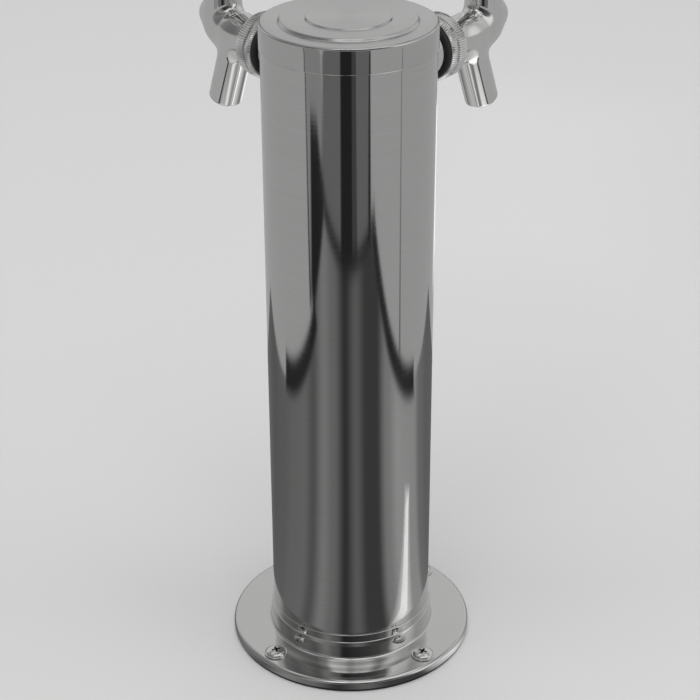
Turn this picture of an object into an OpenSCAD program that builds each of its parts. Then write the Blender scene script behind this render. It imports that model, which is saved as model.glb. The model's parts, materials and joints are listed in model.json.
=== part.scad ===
// Column beer tap tower with two faucets.
// Frame: +Z up, origin on the column axis at the underside of the base gasket, taps facing -Y.
// Each tap has its own frame: x out along its shank from the column axis, z up from the shank axis.

/* [Column] */
// Outside diameter of the column
column_d = 76.2; // [75:0.1:78]
// Thickness of the column wall
column_wall = 1.2; // [1:0.1:1.6]
// Height of the flat rim of the cap above the counter
tower_h = 309.4; // [307:0.2:360]
// Thickness of the foam round the beer lines
foam_wall = 12; // [8:1:14]

/* [Base] */
// Diameter of the base flange
flange_d = 116; // [114:1:130]
// Height of the flange edge above the counter, gasket included
flange_h = 5.5; // [5:0.1:6.5]
// Thickness of the base gasket
base_gasket_h = 1; // [0.6:0.1:1.5]
// Diameter of the hole for the beer lines
line_hole_d = 68; // [60:1:70]
// Diameter of the bolt circle
bolt_circle_d = 100; // [98:0.5:101]
// Diameter of a screw shank
screw_d = 4.8; // [4:0.1:5.2]
// Length of a screw below the counter surface
screw_reach = 14; // [8:1:30]

/* [Cap] */
// Height of the cap skirt
cap_skirt_h = 11.5; // [10:0.5:13]
// Height of the outer raised step on the cap
cap_step_h = 1.2; // [1:0.1:2]

/* [Taps] */
// Angle between the two taps
tap_spread = 75; // [72:1:90]
// Height of the shank axis above the counter
shank_z = 282; // [280:0.5:284]
// Lean of the spout away from upright
spout_lean = 22; // [18:1:25]
// Length of a tap handle
handle_l = 92; // [70:1:140]

/* [Hidden] */
$fn = 96;
LEFT = -1;
RIGHT = 1;
OUTER_NAMES = ["shank", "shank_collar", "collar_gasket"];
INNER_NAMES = ["inner_saddle", "lock_washer", "lock_nut", "line_elbow"];
BODY_NAMES = ["coupling_washer", "coupling_nut", "faucet_body", "ball_washer", "friction_washer", "bonnet"];
MOVING_NAMES = ["valve_shaft", "valve_seat", "valve_nut", "lever", "handle_ferrule", "tap_handle"];
TAP_NAMES = concat(OUTER_NAMES, INNER_NAMES, BODY_NAMES, MOVING_NAMES);

STEEL = "silver";
CHROME = "gainsboro";
RUBBER = "dimgray";
BLACK = "black";

column_r = column_d / 2;
bore_r = column_r - column_wall;
flange_r = flange_d / 2;
line_hole_r = line_hole_d / 2;
bolt_r = bolt_circle_d / 2;
screw_r = screw_d / 2;
slip = 0.05;
blend = 0.3;
over = 1;

// Base
neck_low_r = 39.7;
neck_low_top_r = 39.1;
neck_low_z = 14.5;
neck_high_r = 38.75;
neck_high_z = 18.5;
flange_round = 1.8;
neck_fillet = 1;
gasket_inset = 0.6;
screw_head_r = 5.65;
screw_head_h = 2.4;
screw_rim_h = 0.7;
screw_neck_z = 0.5;
thread_depth = 0.3;
screw_neck_r = screw_r - thread_depth;
recess_w = 1.1;
recess_l = 5;
recess_h = 1.5;

// Cap and foam
cap_wall = 0.8;
cap_skirt_wall = 0.5;
cap_round = 1.2;
cap_step_r = 30;
cap_button_r = 18.5;
cap_button_h = 0.6;
cap_gasket_h = 2;
cap_gasket_lip = 1.5;
cap_under_z = tower_h - cap_wall;
column_top_z = cap_under_z - cap_gasket_h;
foam_top_z = 225;

// Shank, along the tap's x
shank_r = 11;
shank_start = 20;
shank_bore_r = 4.5;
lock_nut_flat = 28;
lock_nut_start = 23.5;
lock_nut_end = 29.5;
lock_washer_end = 30.5;
lock_washer_r = 14;
saddle_r = 14.5;
collar_start = bore_r - 2;
collar_end = 54.2;
collar_r = 12.2;
gasket_end = 56;
gasket_r = 13.9;
shank_head_start = 58.4;
shank_head_end = 60;
shank_head_r = 12.3;
valve_pocket_start = 52;
valve_pocket_r = 7;

// Elbow that the beer line pushes onto
elbow_r = 3.175;
elbow_bore_r = 2.3;
elbow_bend_r = 6.5;
elbow_x = 12;
elbow_in = 28;
elbow_drop = 27;

// Coupling nut
nut_end = 67;
nut_r = 15.1;
nut_back_r = 14.2;
nut_chamfer = 1.1;
nut_front_chamfer = 0.6;
nut_thread_r = 13;
groove_start = 59.4;
groove_end = 60.7;
groove_r = 14.6;
spanner_hole_r = 1.1;
spanner_hole_floor = 13.6;
spanner_holes = 4;

// Faucet body
body_start = 61.2;
body_stub_r = nut_thread_r - slip;
stub_end = nut_end + 1;
stub_taper_end = nut_end + 4;
barrel_r = 8.9;
barrel_end = 89;
lever_x = 99.5;
belly_x = 95;
belly_r = 9.2;
belly_drop = 4;
nose_x = 105.6;
nose_z = 3.4;
nose_r = 8.4;
collar_neck_r = 8.9;
neck_top = 25;
spout_r = 8;
spout_root_r = 9.2;
spout_root_tip_r = 7.4;
spout_root_share = 0.55;
spout_bore_r = 5;
spout_x = 86;
spout_drop = 35.4;
spout_l = spout_drop / cos(spout_lean);
seat_x = 68;
inlet_r = 6.9;
chamber_r = 4.2;
chamber_end = 105.6;
well_r = 5.2;
well_back = 3;
drop_x = 82;
drop_r = 4.2;
turn_z = -13;

// Lever and ball
ball_z = 20;
ball_r = 6.3;
ball_seat_r = ball_r + slip;
ball_bore_r = 6.5;
ball_ledge_z = 13.4;
arm_top_r = 2.1;
arm_tip_r = 1.9;
tip_r = 2.3;
lever_neck_r = 2.8;
lever_flare_z = 34;
lever_flare_r = 6.6;
lever_collar_z = 41;
lever_collar_r = 7.6;
lever_collar_h = 3.5;
stud_r = 4.7;
stud_top = 60;

// Bonnet and ball washers
bonnet_z = 20;
bonnet_top = 31;
bonnet_r = 13.6;
bonnet_waist_r = 12.4;
bonnet_waist_start = 26.5;
bonnet_waist_end = 27.5;
bonnet_chamfer = 0.8;
washer_start = 22.4;
washer_top = 26.6;
washer_r = 8.7;
washer_hole_r = 5.2;
washer_cone_r = 5.9;
bonnet_hole_r = 7.6;
ball_washer_hole_r = 4.9;
ball_washer_top = 16.6;

// Valve shaft
shaft_r = 4.14;
land_start = 92.5;
shaft_end = 104.9;
stem_r = 2.5;
screw_end_r = 2;
shaft_start = 61.8;
seat_disc_start = 65.5;
seat_disc_r = 6.3;
valve_nut_flat = 8;
valve_nut_start = 62.3;
slot_w = 5.2;
slot_half = tip_r + 0.35;
slot_flare_z = 0.5;
slot_top_half = 4.4;
slot_floor = -2.7;

// Handle
ferrule_z = lever_collar_z + lever_collar_h;
ferrule_h = 16;
ferrule_r = 7.4;
handle_z = ferrule_z + 5;
handle_foot_h = 4;
handle_taper_h = 8;
handle_waist_z = handle_z + handle_foot_h + handle_taper_h;
handle_foot_r = 9.5;
handle_waist_r = 8.2;
handle_head_r = 14.5;

// Places its children in the frame of the tap on the given side
module tap(side) {
    translate([0, 0, shank_z])
        rotate([0, 0, side * tap_spread / 2 - 90])
            children();
}

// A cylinder along x between two stations
module bar(from, to, r) {
    translate([from, 0, 0])
        rotate([0, 90, 0])
            cylinder(h = to - from, r = r);
}

// A cone along x between two stations
module taper(from, to, r1, r2) {
    translate([from, 0, 0])
        rotate([0, 90, 0])
            cylinder(h = to - from, r1 = r1, r2 = r2);
}

// A hexagonal bar along x with flats at its sides
module hex_bar(from, to, flat) {
    translate([from, 0, 0])
        rotate([0, 90, 0])
            cylinder(h = to - from, r = flat / sqrt(3), $fn = 6);
}

// An upright ring
module ring(z1, z2, outer_r, inner_r) {
    difference() {
        translate([0, 0, z1])
            cylinder(h = z2 - z1, r = outer_r);
        translate([0, 0, z1 - over])
            cylinder(h = z2 - z1 + 2 * over, r = inner_r);
    }
}

// Half outline of a disc whose upper outer edge is rounded
module rounded_disc_outline(r, z1, z2, round_r) {
    translate([0, z1])
        square([r, z2 - z1 - round_r]);
    translate([0, z1])
        square([r - round_r, z2 - z1]);
    translate([r - round_r, z2 - round_r])
        circle(r = round_r);
}

// The four screw places
module at_screws() {
    for (i = [0 : 3])
        rotate([0, 0, 45 + 90 * i])
            translate([bolt_r, 0, 0])
                children();
}

module base_flange() {
    color(STEEL)
        difference() {
            union() {
                rotate_extrude()
                    intersection() {
                        rounded_disc_outline(flange_r, base_gasket_h, flange_h, flange_round);
                        square([flange_r, flange_h]);
                    }
                translate([0, 0, flange_h])
                    cylinder(h = neck_low_z - flange_h, r1 = neck_low_r, r2 = neck_low_top_r);
                cylinder_from(base_gasket_h, neck_high_z, neck_high_r);
                rotate_extrude()
                    neck_fillet_outline();
            }
            cylinder_from(-over, flange_h + over, line_hole_r);
            cylinder_from(flange_h, neck_high_z + over, column_r + slip / 2);
            at_screws()
                cylinder_from(-over, flange_h + over, screw_r + 2 * slip);
        }
}

// Concave corner between the flange and its neck
module neck_fillet_outline() {
    difference() {
        translate([column_r, flange_h - over])
            square([neck_low_r - column_r + neck_fillet, over + neck_fillet]);
        translate([neck_low_r + neck_fillet, flange_h + neck_fillet])
            circle(r = neck_fillet);
    }
}

module cylinder_from(z1, z2, r) {
    translate([0, 0, z1])
        cylinder(h = z2 - z1, r = r);
}

module base_gasket() {
    color(RUBBER)
        difference() {
            ring(0, base_gasket_h, flange_r - gasket_inset, line_hole_r);
            at_screws()
                cylinder_from(-over, flange_h, screw_r + 2 * slip);
        }
}

module base_screws() {
    color(CHROME)
        at_screws()
            difference() {
                union() {
                    cylinder_from(-screw_reach, -screw_neck_z, screw_r);
                    cylinder_from(-screw_neck_z, flange_h, screw_neck_r);
                    pan_head();
                }
                cross_recess();
            }
}

// A low domed head whose radius follows from its height
module pan_head() {
    dome_h = screw_head_h - screw_rim_h;
    dome_r = (screw_head_r * screw_head_r + dome_h * dome_h) / (2 * dome_h);
    cylinder_from(flange_h, flange_h + screw_rim_h, screw_head_r);
    intersection() {
        cylinder_from(flange_h + screw_rim_h, flange_h + screw_head_h, screw_head_r);
        translate([0, 0, flange_h + screw_head_h - dome_r])
            sphere(r = dome_r);
    }
}

module cross_recess() {
    for (a = [0, 90])
        rotate([0, 0, a])
            translate([-recess_l / 2, -recess_w / 2, flange_h + screw_head_h - recess_h])
                cube([recess_l, recess_w, recess_h + over]);
}

module column_tube() {
    color(STEEL)
        difference() {
            ring(flange_h, column_top_z, column_r, bore_r);
            for (side = [LEFT, RIGHT])
                tap(side)
                    bar(0, column_r + over, shank_r + slip);
        }
}

module foam_sleeve() {
    color("khaki")
        ring(flange_h, foam_top_z, bore_r - slip, bore_r - foam_wall);
}

module tower_cap() {
    skirt_r = column_r + slip / 2;
    rim_r = skirt_r + cap_skirt_wall;
    step_z = tower_h + cap_step_h;
    button_z = step_z + cap_button_h;
    color(STEEL)
        rotate_extrude()
            difference() {
                intersection() {
                    union() {
                        rounded_disc_outline(rim_r, tower_h - cap_skirt_h, tower_h, cap_round);
                        rounded_disc_outline(cap_step_r, tower_h - cap_wall, step_z, cap_step_h / 2);
                        rounded_disc_outline(cap_button_r, tower_h, button_z, cap_button_h / 2);
                    }
                    translate([0, tower_h - cap_skirt_h])
                        square([rim_r, cap_skirt_h + cap_step_h + cap_button_h]);
                }
                translate([0, tower_h - cap_skirt_h - over])
                    square([skirt_r, cap_skirt_h - cap_wall + over]);
                translate([0, tower_h - cap_wall - over])
                    square([cap_step_r - cap_wall, cap_step_h + over]);
            }
}

module cap_gasket() {
    color(RUBBER)
        ring(column_top_z, cap_under_z, column_r - 2 * slip, bore_r - cap_gasket_lip);
}

module shank(side) {
    color(CHROME)
        tap(side)
            difference() {
                union() {
                    bar(shank_start, shank_head_end, shank_r);
                    bar(shank_head_start, shank_head_end, shank_head_r);
                }
                bar(shank_start - over, shank_head_end + over, shank_bore_r);
                bar(valve_pocket_start, shank_head_end + over, valve_pocket_r);
            }
}

// The column and its bore, seen from a tap's frame
module column_in_tap_frame(r) {
    cylinder(h = 4 * collar_r, r = r, center = true);
}

module shank_collar(side) {
    color(CHROME)
        tap(side)
            difference() {
                bar(collar_start, collar_end, collar_r);
                bar(0, collar_end + over, shank_r + slip);
                column_in_tap_frame(column_r + slip);
            }
}

module collar_gasket(side) {
    color(RUBBER)
        tap(side)
            difference() {
                bar(collar_end, gasket_end, gasket_r);
                bar(0, gasket_end + over, shank_r + slip);
            }
}

module inner_saddle(side) {
    color(BLACK)
        tap(side)
            difference() {
                intersection() {
                    bar(lock_washer_end, column_r, saddle_r);
                    column_in_tap_frame(bore_r - slip);
                }
                bar(0, column_r, shank_r + slip);
            }
}

module lock_washer(side) {
    color(CHROME)
        tap(side)
            difference() {
                bar(lock_nut_end, lock_washer_end, lock_washer_r);
                bar(0, column_r, shank_r + slip);
            }
}

module lock_nut(side) {
    color(CHROME)
        tap(side)
            difference() {
                rotate([90, 0, 0])
                    hex_bar(lock_nut_start, lock_nut_end, lock_nut_flat);
                bar(0, column_r, shank_r + slip);
            }
}

module line_elbow(side) {
    color(STEEL)
        tap(side)
            difference() {
                elbow_path(elbow_r, shank_bore_r - slip, 0);
                elbow_path(elbow_bore_r, elbow_bore_r, over);
            }
}

// The elbow as a round path: a stub in the shank, a quarter bend and a stem down
module elbow_path(r, stub_r, extra) {
    bar(shank_start, elbow_in + extra, stub_r);
    bar(elbow_x + elbow_bend_r, shank_start + over, r);
    translate([elbow_x + elbow_bend_r, 0, -elbow_bend_r])
        rotate([90, 0, 0])
            rotate([0, 0, 90])
                rotate_extrude(angle = 90)
                    translate([elbow_bend_r, 0])
                        circle(r = r);
    translate([elbow_x, 0, -elbow_drop - extra])
        cylinder(h = elbow_drop - elbow_bend_r + extra, r = r);
}

module coupling_washer(side) {
    color(RUBBER)
        tap(side)
            difference() {
                bar(shank_head_end, body_start, shank_head_r);
                bar(shank_head_end - over, body_start + over, valve_pocket_r);
            }
}

module coupling_nut(side) {
    color(CHROME)
        tap(side)
            difference() {
                union() {
                    taper(gasket_end, gasket_end + nut_chamfer, nut_back_r, nut_r);
                    bar(gasket_end + nut_chamfer, groove_start, nut_r);
                    bar(groove_start, groove_end, groove_r);
                    bar(groove_end, nut_end - nut_front_chamfer, nut_r);
                    taper(nut_end - nut_front_chamfer, nut_end, nut_r, nut_r - nut_front_chamfer);
                }
                bar(gasket_end - over, nut_end, shank_r + slip);
                bar(shank_head_start, nut_end + over, nut_thread_r);
                spanner_hole_ring();
            }
}

module spanner_hole_ring() {
    for (i = [0 : spanner_holes - 1])
        rotate([45 + 360 / spanner_holes * i, 0, 0])
            translate([(groove_start + groove_end) / 2, 0, spanner_hole_floor])
                cylinder(h = nut_r, r = spanner_hole_r);
}

module faucet_body(side) {
    color(CHROME)
        tap(side)
            difference() {
                union() {
                    bar(body_start, stub_end, body_stub_r);
                    taper(stub_end, stub_taper_end, body_stub_r, barrel_r);
                    bar(stub_taper_end, barrel_end, barrel_r);
                    barrel_front();
                    translate([lever_x, 0, 0])
                        cylinder(h = neck_top, r = collar_neck_r);
                    spout_shell();
                }
                faucet_passages();
            }
}

// The barrel narrows to a raised round nose
module barrel_front() {
    taper(barrel_end, belly_x, barrel_r, belly_r);
    translate([belly_x, 0, 0])
        sphere(r = belly_r + blend);
    translate([belly_x, 0, 0])
        rotate([0, 90 - atan2(nose_z, nose_x - belly_x), 0])
            cylinder(h = norm([nose_x - belly_x, nose_z]), r1 = belly_r - blend, r2 = nose_r - blend);
    translate([nose_x, 0, nose_z])
        sphere(r = nose_r);
}

// Places its children on the spout axis, with z towards the outlet
module on_spout() {
    translate([spout_x, 0, 0])
        rotate([0, 180 - spout_lean, 0])
            children();
}

// The spout widens upwards into the barrel and the belly
module spout_shell() {
    on_spout()
        cylinder(h = spout_l, r = spout_r);
    on_spout()
        cylinder(h = spout_l * spout_root_share, r1 = spout_root_r, r2 = spout_root_tip_r);
    translate([belly_x - belly_drop / 2, 0, -belly_drop])
        sphere(r = belly_r - belly_drop / 2);
}

// Inlet, valve seat, shaft bore, lever well and the way down the spout
module faucet_passages() {
    turn = -turn_z / cos(spout_lean);
    turn_x = spout_x + turn * sin(spout_lean);
    fall = atan2(turn_x - drop_x, -turn_z);
    bar(body_start - over, seat_x, inlet_r);
    bar(seat_x - over, chamber_end, chamber_r);
    translate([lever_x, 0, 0])
        cylinder(h = neck_top, r = well_r);
    translate([lever_x - well_back, 0, 0])
        cylinder(h = ball_ledge_z, r = well_r);
    translate([lever_x, 0, ball_ledge_z])
        cylinder(h = neck_top, r = ball_bore_r);
    translate([drop_x, 0, 0])
        rotate([0, 180 - fall, 0])
            cylinder(h = norm([turn_x - drop_x, turn_z]), r = drop_r);
    translate([turn_x, 0, turn_z])
        sphere(r = spout_bore_r + blend);
    on_spout()
        translate([0, 0, turn])
            cylinder(h = spout_l, r = spout_bore_r);
}

module ball_washer(side) {
    color("ivory")
        tap(side)
            translate([lever_x, 0, 0])
                difference() {
                    ring(ball_ledge_z, ball_washer_top, ball_bore_r - slip, ball_washer_hole_r);
                    translate([0, 0, ball_z])
                        sphere(r = ball_seat_r);
                }
}

module friction_washer(side) {
    color("ivory")
        tap(side)
            translate([lever_x, 0, 0])
                difference() {
                    union() {
                        cylinder_from(washer_start, neck_top, ball_bore_r - slip);
                        cylinder_from(neck_top, washer_top, washer_r);
                    }
                    cylinder_from(ball_z, neck_top, washer_hole_r);
                    translate([0, 0, neck_top])
                        cylinder(h = washer_top - neck_top, r1 = washer_hole_r, r2 = washer_cone_r);
                    cylinder_from(washer_top, washer_top + over, washer_cone_r);
                    translate([0, 0, ball_z])
                        sphere(r = ball_seat_r);
                }
}

module bonnet(side) {
    color(CHROME)
        tap(side)
            translate([lever_x, 0, 0])
                difference() {
                    union() {
                        cylinder_from(bonnet_z, bonnet_waist_start, bonnet_r);
                        cylinder_from(bonnet_waist_start, bonnet_waist_end, bonnet_waist_r);
                        cylinder_from(bonnet_waist_end, bonnet_top - bonnet_chamfer, bonnet_r);
                        translate([0, 0, bonnet_top - bonnet_chamfer])
                            cylinder(h = bonnet_chamfer, r1 = bonnet_r, r2 = bonnet_r - bonnet_chamfer);
                    }
                    cylinder_from(bonnet_z - over, washer_top, collar_neck_r + slip);
                    translate([0, 0, washer_top])
                        cylinder(h = bonnet_top - washer_top, r1 = washer_cone_r, r2 = bonnet_hole_r);
                    cylinder_from(bonnet_top, bonnet_top + over, bonnet_hole_r);
                }
}

module valve_shaft(side) {
    color(CHROME)
        tap(side)
            difference() {
                union() {
                    bar(shaft_start, seat_x, screw_end_r);
                    bar(seat_x, land_start, stem_r);
                    bar(land_start, shaft_end, shaft_r);
                }
                lever_slot();
            }
}

// A slot that is wider at its top, so that the leaning lever arm clears it
module lever_slot() {
    translate([lever_x, slot_w / 2, 0])
        rotate([90, 0, 0])
            linear_extrude(height = slot_w)
                polygon([
                    [-slot_half, slot_floor],
                    [slot_half, slot_floor],
                    [slot_half, slot_flare_z],
                    [slot_top_half, shaft_r + over],
                    [-slot_top_half, shaft_r + over],
                    [-slot_half, slot_flare_z]
                ]);
}

module valve_seat(side) {
    color(RUBBER)
        tap(side)
            difference() {
                bar(seat_disc_start, seat_x, seat_disc_r);
                bar(seat_disc_start - over, seat_x + over, screw_end_r + slip);
            }
}

module valve_nut(side) {
    color(CHROME)
        tap(side)
            difference() {
                hex_bar(valve_nut_start, seat_disc_start, valve_nut_flat);
                bar(valve_nut_start - over, seat_disc_start + over, screw_end_r + slip);
            }
}

module lever(side) {
    color(CHROME)
        tap(side)
            translate([lever_x, 0, 0]) {
                cylinder(h = ball_z, r1 = arm_tip_r, r2 = arm_top_r);
                sphere(r = tip_r);
                translate([0, 0, ball_z])
                    sphere(r = ball_r);
                cylinder_from(ball_z, lever_flare_z, lever_neck_r);
                translate([0, 0, lever_flare_z])
                    cylinder(h = lever_collar_z - lever_flare_z, r1 = lever_neck_r, r2 = lever_flare_r);
                cylinder_from(lever_collar_z, ferrule_z, lever_collar_r);
                cylinder_from(ferrule_z, stud_top, stud_r);
            }
}

module handle_ferrule(side) {
    color(CHROME)
        tap(side)
            translate([lever_x, 0, 0])
                ring(ferrule_z, ferrule_z + ferrule_h, ferrule_r, stud_r + slip);
}

module tap_handle(side) {
    head_z = handle_z + handle_l - handle_head_r;
    color(BLACK)
        tap(side)
            translate([lever_x, 0, 0])
                difference() {
                    union() {
                        cylinder_from(handle_z, handle_z + handle_foot_h, handle_foot_r);
                        translate([0, 0, handle_z + handle_foot_h])
                            cylinder(h = handle_taper_h, r1 = handle_foot_r, r2 = handle_waist_r);
                        translate([0, 0, handle_waist_z])
                            cylinder(h = head_z - handle_waist_z, r1 = handle_waist_r, r2 = handle_head_r);
                        translate([0, 0, head_z])
                            sphere(r = handle_head_r);
                    }
                    cylinder_from(handle_z - over, ferrule_z + ferrule_h, ferrule_r + slip);
                    cylinder_from(ferrule_z, stud_top + over, stud_r + slip);
                }
}

base_flange();
base_gasket();
base_screws();
column_tube();
foam_sleeve();
tower_cap();
cap_gasket();
shank(LEFT);  // left_shank
shank_collar(LEFT);  // left_shank_collar
collar_gasket(LEFT);  // left_collar_gasket
inner_saddle(LEFT);  // left_inner_saddle
lock_washer(LEFT);  // left_lock_washer
lock_nut(LEFT);  // left_lock_nut
line_elbow(LEFT);  // left_line_elbow
coupling_washer(LEFT);  // left_coupling_washer
coupling_nut(LEFT);  // left_coupling_nut
faucet_body(LEFT);  // left_faucet_body
ball_washer(LEFT);  // left_ball_washer
friction_washer(LEFT);  // left_friction_washer
bonnet(LEFT);  // left_bonnet
valve_shaft(LEFT);  // left_valve_shaft
valve_seat(LEFT);  // left_valve_seat
valve_nut(LEFT);  // left_valve_nut
lever(LEFT);  // left_lever
handle_ferrule(LEFT);  // left_handle_ferrule
tap_handle(LEFT);  // left_tap_handle
shank(RIGHT);  // right_shank
shank_collar(RIGHT);  // right_shank_collar
collar_gasket(RIGHT);  // right_collar_gasket
inner_saddle(RIGHT);  // right_inner_saddle
lock_washer(RIGHT);  // right_lock_washer
lock_nut(RIGHT);  // right_lock_nut
line_elbow(RIGHT);  // right_line_elbow
coupling_washer(RIGHT);  // right_coupling_washer
coupling_nut(RIGHT);  // right_coupling_nut
faucet_body(RIGHT);  // right_faucet_body
ball_washer(RIGHT);  // right_ball_washer
friction_washer(RIGHT);  // right_friction_washer
bonnet(RIGHT);  // right_bonnet
valve_shaft(RIGHT);  // right_valve_shaft
valve_seat(RIGHT);  // right_valve_seat
valve_nut(RIGHT);  // right_valve_nut
lever(RIGHT);  // right_lever
handle_ferrule(RIGHT);  // right_handle_ferrule
tap_handle(RIGHT);  // right_tap_handle
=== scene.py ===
"""A column beer tap tower with two faucets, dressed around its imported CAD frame.

Outlines are in millimetres and are scaled to metres when a mesh is made. Each tap has its own
frame, as in the CAD: x out along the shank from the column axis, z up from the shank axis.
"""

import json
import math

import bmesh
import bpy
import numpy as np
from mathutils import Matrix, Vector


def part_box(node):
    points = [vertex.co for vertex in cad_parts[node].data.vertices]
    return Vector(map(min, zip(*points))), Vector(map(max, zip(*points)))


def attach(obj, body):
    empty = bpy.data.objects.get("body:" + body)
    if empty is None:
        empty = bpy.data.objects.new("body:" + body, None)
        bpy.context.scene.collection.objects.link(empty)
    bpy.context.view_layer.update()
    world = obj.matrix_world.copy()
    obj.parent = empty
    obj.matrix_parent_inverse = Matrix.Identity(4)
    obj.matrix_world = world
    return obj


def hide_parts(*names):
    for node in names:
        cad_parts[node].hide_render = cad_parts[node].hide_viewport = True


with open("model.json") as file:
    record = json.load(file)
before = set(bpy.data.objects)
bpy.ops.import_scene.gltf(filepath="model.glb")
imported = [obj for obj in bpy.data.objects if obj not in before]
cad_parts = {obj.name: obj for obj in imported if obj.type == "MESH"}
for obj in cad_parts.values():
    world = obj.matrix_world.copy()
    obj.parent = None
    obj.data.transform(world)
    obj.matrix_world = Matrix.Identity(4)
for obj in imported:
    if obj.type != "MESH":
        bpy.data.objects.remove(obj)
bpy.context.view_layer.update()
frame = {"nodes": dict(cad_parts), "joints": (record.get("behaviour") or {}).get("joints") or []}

MM = 0.001
SIDES = ("left", "right")
JOINTS = {joint["name"]: joint for joint in frame["joints"]}
UPRIGHT = Matrix.Identity(4)
ALONG_X = Matrix.Rotation(math.radians(90), 4, "Y")
EVEN = (1, 1, 1)
# A smaller radius than this is on the lathe's axis.
ON_AXIS = 1e-6
# A casting's grid is worked out in this many parts.
GRID_PARTS = 40
# Most of a noise texture's values lie between these.
NOISE_LOW, NOISE_HIGH = 0.3, 0.7


# ---------------------------------------------------------------- places


def box_mm(node):
    """Lowest and highest corner of a CAD node, in millimetres."""
    low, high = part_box(node)
    return low / MM, high / MM


def tap_place(side):
    """The matrix of a tap's own frame, from its lever's pivot and its shank."""
    pivot = Vector(JOINTS[side + "_lever_tilt"]["pos_m"])
    out = Vector((pivot.x, pivot.y, 0)).normalized()
    up = Vector((0, 0, 1))
    low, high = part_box(side + "_shank")
    place = Matrix((out, up.cross(out), up)).transposed().to_4x4()
    place.translation = (0, 0, (low.z + high.z) / 2)
    return place


def span(node, place):
    """Lowest and highest corner of a CAD node in a tap's frame, in millimetres."""
    inverse = np.array(place.inverted())
    points = np.array([v.co for v in frame["nodes"][node].data.vertices])
    local = (points @ inverse[:3, :3].T + inverse[:3, 3]) / MM
    return local.min(0), local.max(0)


# ---------------------------------------------------------------- mesh helpers


def placed(name, data):
    """Puts an object in the scene."""
    thing = bpy.data.objects.new(name, data)
    bpy.context.scene.collection.objects.link(thing)
    return thing


def as_mesh(name, bm):
    """Turns a bmesh into a mesh, and frees it."""
    mesh = bpy.data.meshes.new(name)
    bm.to_mesh(mesh)
    bm.free()
    return mesh


def smooth_faces(mesh, sharp_degrees):
    """Smooth faces that meet in sharp edges above an angle."""
    mesh.shade_smooth()
    mesh.set_sharp_from_angle(angle=math.radians(sharp_degrees))


def smooth_step(t):
    """Goes from 0 to 1, leaving and arriving level."""
    return t * t * (3 - 2 * t)


def arc(center_r, center_z, radius, start, end, steps=8):
    """Outline points along an arc, from one angle to another in degrees."""
    angles = [math.radians(start + (end - start) * i / steps) for i in range(steps + 1)]
    return [(center_r + radius * math.cos(a), center_z + radius * math.sin(a)) for a in angles]


def ease(start, end, steps=10):
    """Outline points along an S-curve that leaves and arrives level."""
    across, up = end[0] - start[0], end[1] - start[1]
    shares = [i / steps for i in range(steps + 1)]
    return [(start[0] + across * t, start[1] + up * smooth_step(t)) for t in shares]


def finish_mesh(name, bm, sharp_degrees=35):
    """Makes an object of a bmesh, with smooth faces and sharp corners."""
    bmesh.ops.recalc_face_normals(bm, faces=bm.faces)
    mesh = as_mesh(name, bm)
    smooth_faces(mesh, sharp_degrees)
    return placed(name, mesh)


def knurled(radius, height, step, turns, knurl):
    """The radius at one step of a turn, where straight ridges may be cut between two heights.

    knurl is (teeth, depth, low, high, least radius), or None for a plain face.
    """
    if knurl is None:
        return radius
    teeth, depth, low, high, least_r = knurl
    if not low <= height <= high or radius <= least_r:
        return radius
    phase = (step * teeth / turns) % 1
    return radius - depth * abs(2 * phase - 1)


def ring_faces(bm, a, b):
    """Joins two rings of a lathe; a ring of one vertex is a tip on the axis."""
    turns = max(len(a), len(b))
    if turns == 1:
        return
    for i in range(turns):
        j = (i + 1) % turns
        if len(a) == 1:
            bm.faces.new((a[0], b[i], b[j]))
        elif len(b) == 1:
            bm.faces.new((a[i], b[0], a[j]))
        else:
            bm.faces.new((a[i], b[i], b[j], a[j]))


def lathe(name, outline, place, turns=160, closed=True, knurl=None, sharp_degrees=35):
    """Turns an outline of (radius, height) points about the place's z axis; see knurled for knurl."""
    bm = bmesh.new()
    rings = []
    for radius, height in outline:
        if radius < ON_AXIS:
            rings.append([bm.verts.new((0, 0, height * MM))])
            continue
        ring = []
        for i in range(turns):
            reach = knurled(radius, height, i, turns, knurl)
            angle = 2 * math.pi * i / turns
            spot = (reach * math.cos(angle) * MM, reach * math.sin(angle) * MM, height * MM)
            ring.append(bm.verts.new(spot))
        rings.append(ring)
    for a, b in zip(rings, rings[1:]):
        ring_faces(bm, a, b)
    if closed:
        ring_faces(bm, rings[-1], rings[0])
    bmesh.ops.transform(bm, matrix=place, verts=bm.verts)
    return finish_mesh(name, bm, sharp_degrees)


def carve(piece, cutters, sharp_degrees=35):
    """Cuts the cutters out of a piece, and removes them."""
    for cutter in cutters:
        cut = piece.modifiers.new("cut", "BOOLEAN")
        cut.operation = "DIFFERENCE"
        cut.solver = "EXACT"
        cut.object = cutter
    bpy.context.view_layer.update()
    graph = bpy.context.evaluated_depsgraph_get()
    mesh = bpy.data.meshes.new_from_object(piece.evaluated_get(graph))
    piece.modifiers.clear()
    piece.data = mesh
    smooth_faces(mesh, sharp_degrees)
    for cutter in cutters:
        bpy.data.objects.remove(cutter)


def rod(radius, start, end, place, turns=48):
    """A plain cutter along the place's z axis."""
    outline = [(0, start), (radius, start), (radius, end), (0, end)]
    return lathe("cutter", outline, place, turns, closed=False)


# ---------------------------------------------------------------- smooth castings


def blend_min(a, b, width):
    """Joins two distance fields with a soft fillet of about the given width."""
    h = np.clip(0.5 + 0.5 * (b - a) / width, 0, 1)
    return b + (a - b) * h - width * h * (1 - h)


def blend_max(a, b, width):
    """Cuts one distance field by another and rounds the edge."""
    return -blend_min(-a, -b, width)


def limb(p, start, end, start_r, end_r):
    """Distance from a round limb whose radius changes along it."""
    start, along = np.array(start, float), np.array(end, float) - np.array(start, float)
    t = np.clip((p - start) @ along / (along @ along), 0, 1)
    return np.linalg.norm(p - start - t[:, None] * along, axis=1) - (start_r + (end_r - start_r) * t)


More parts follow.
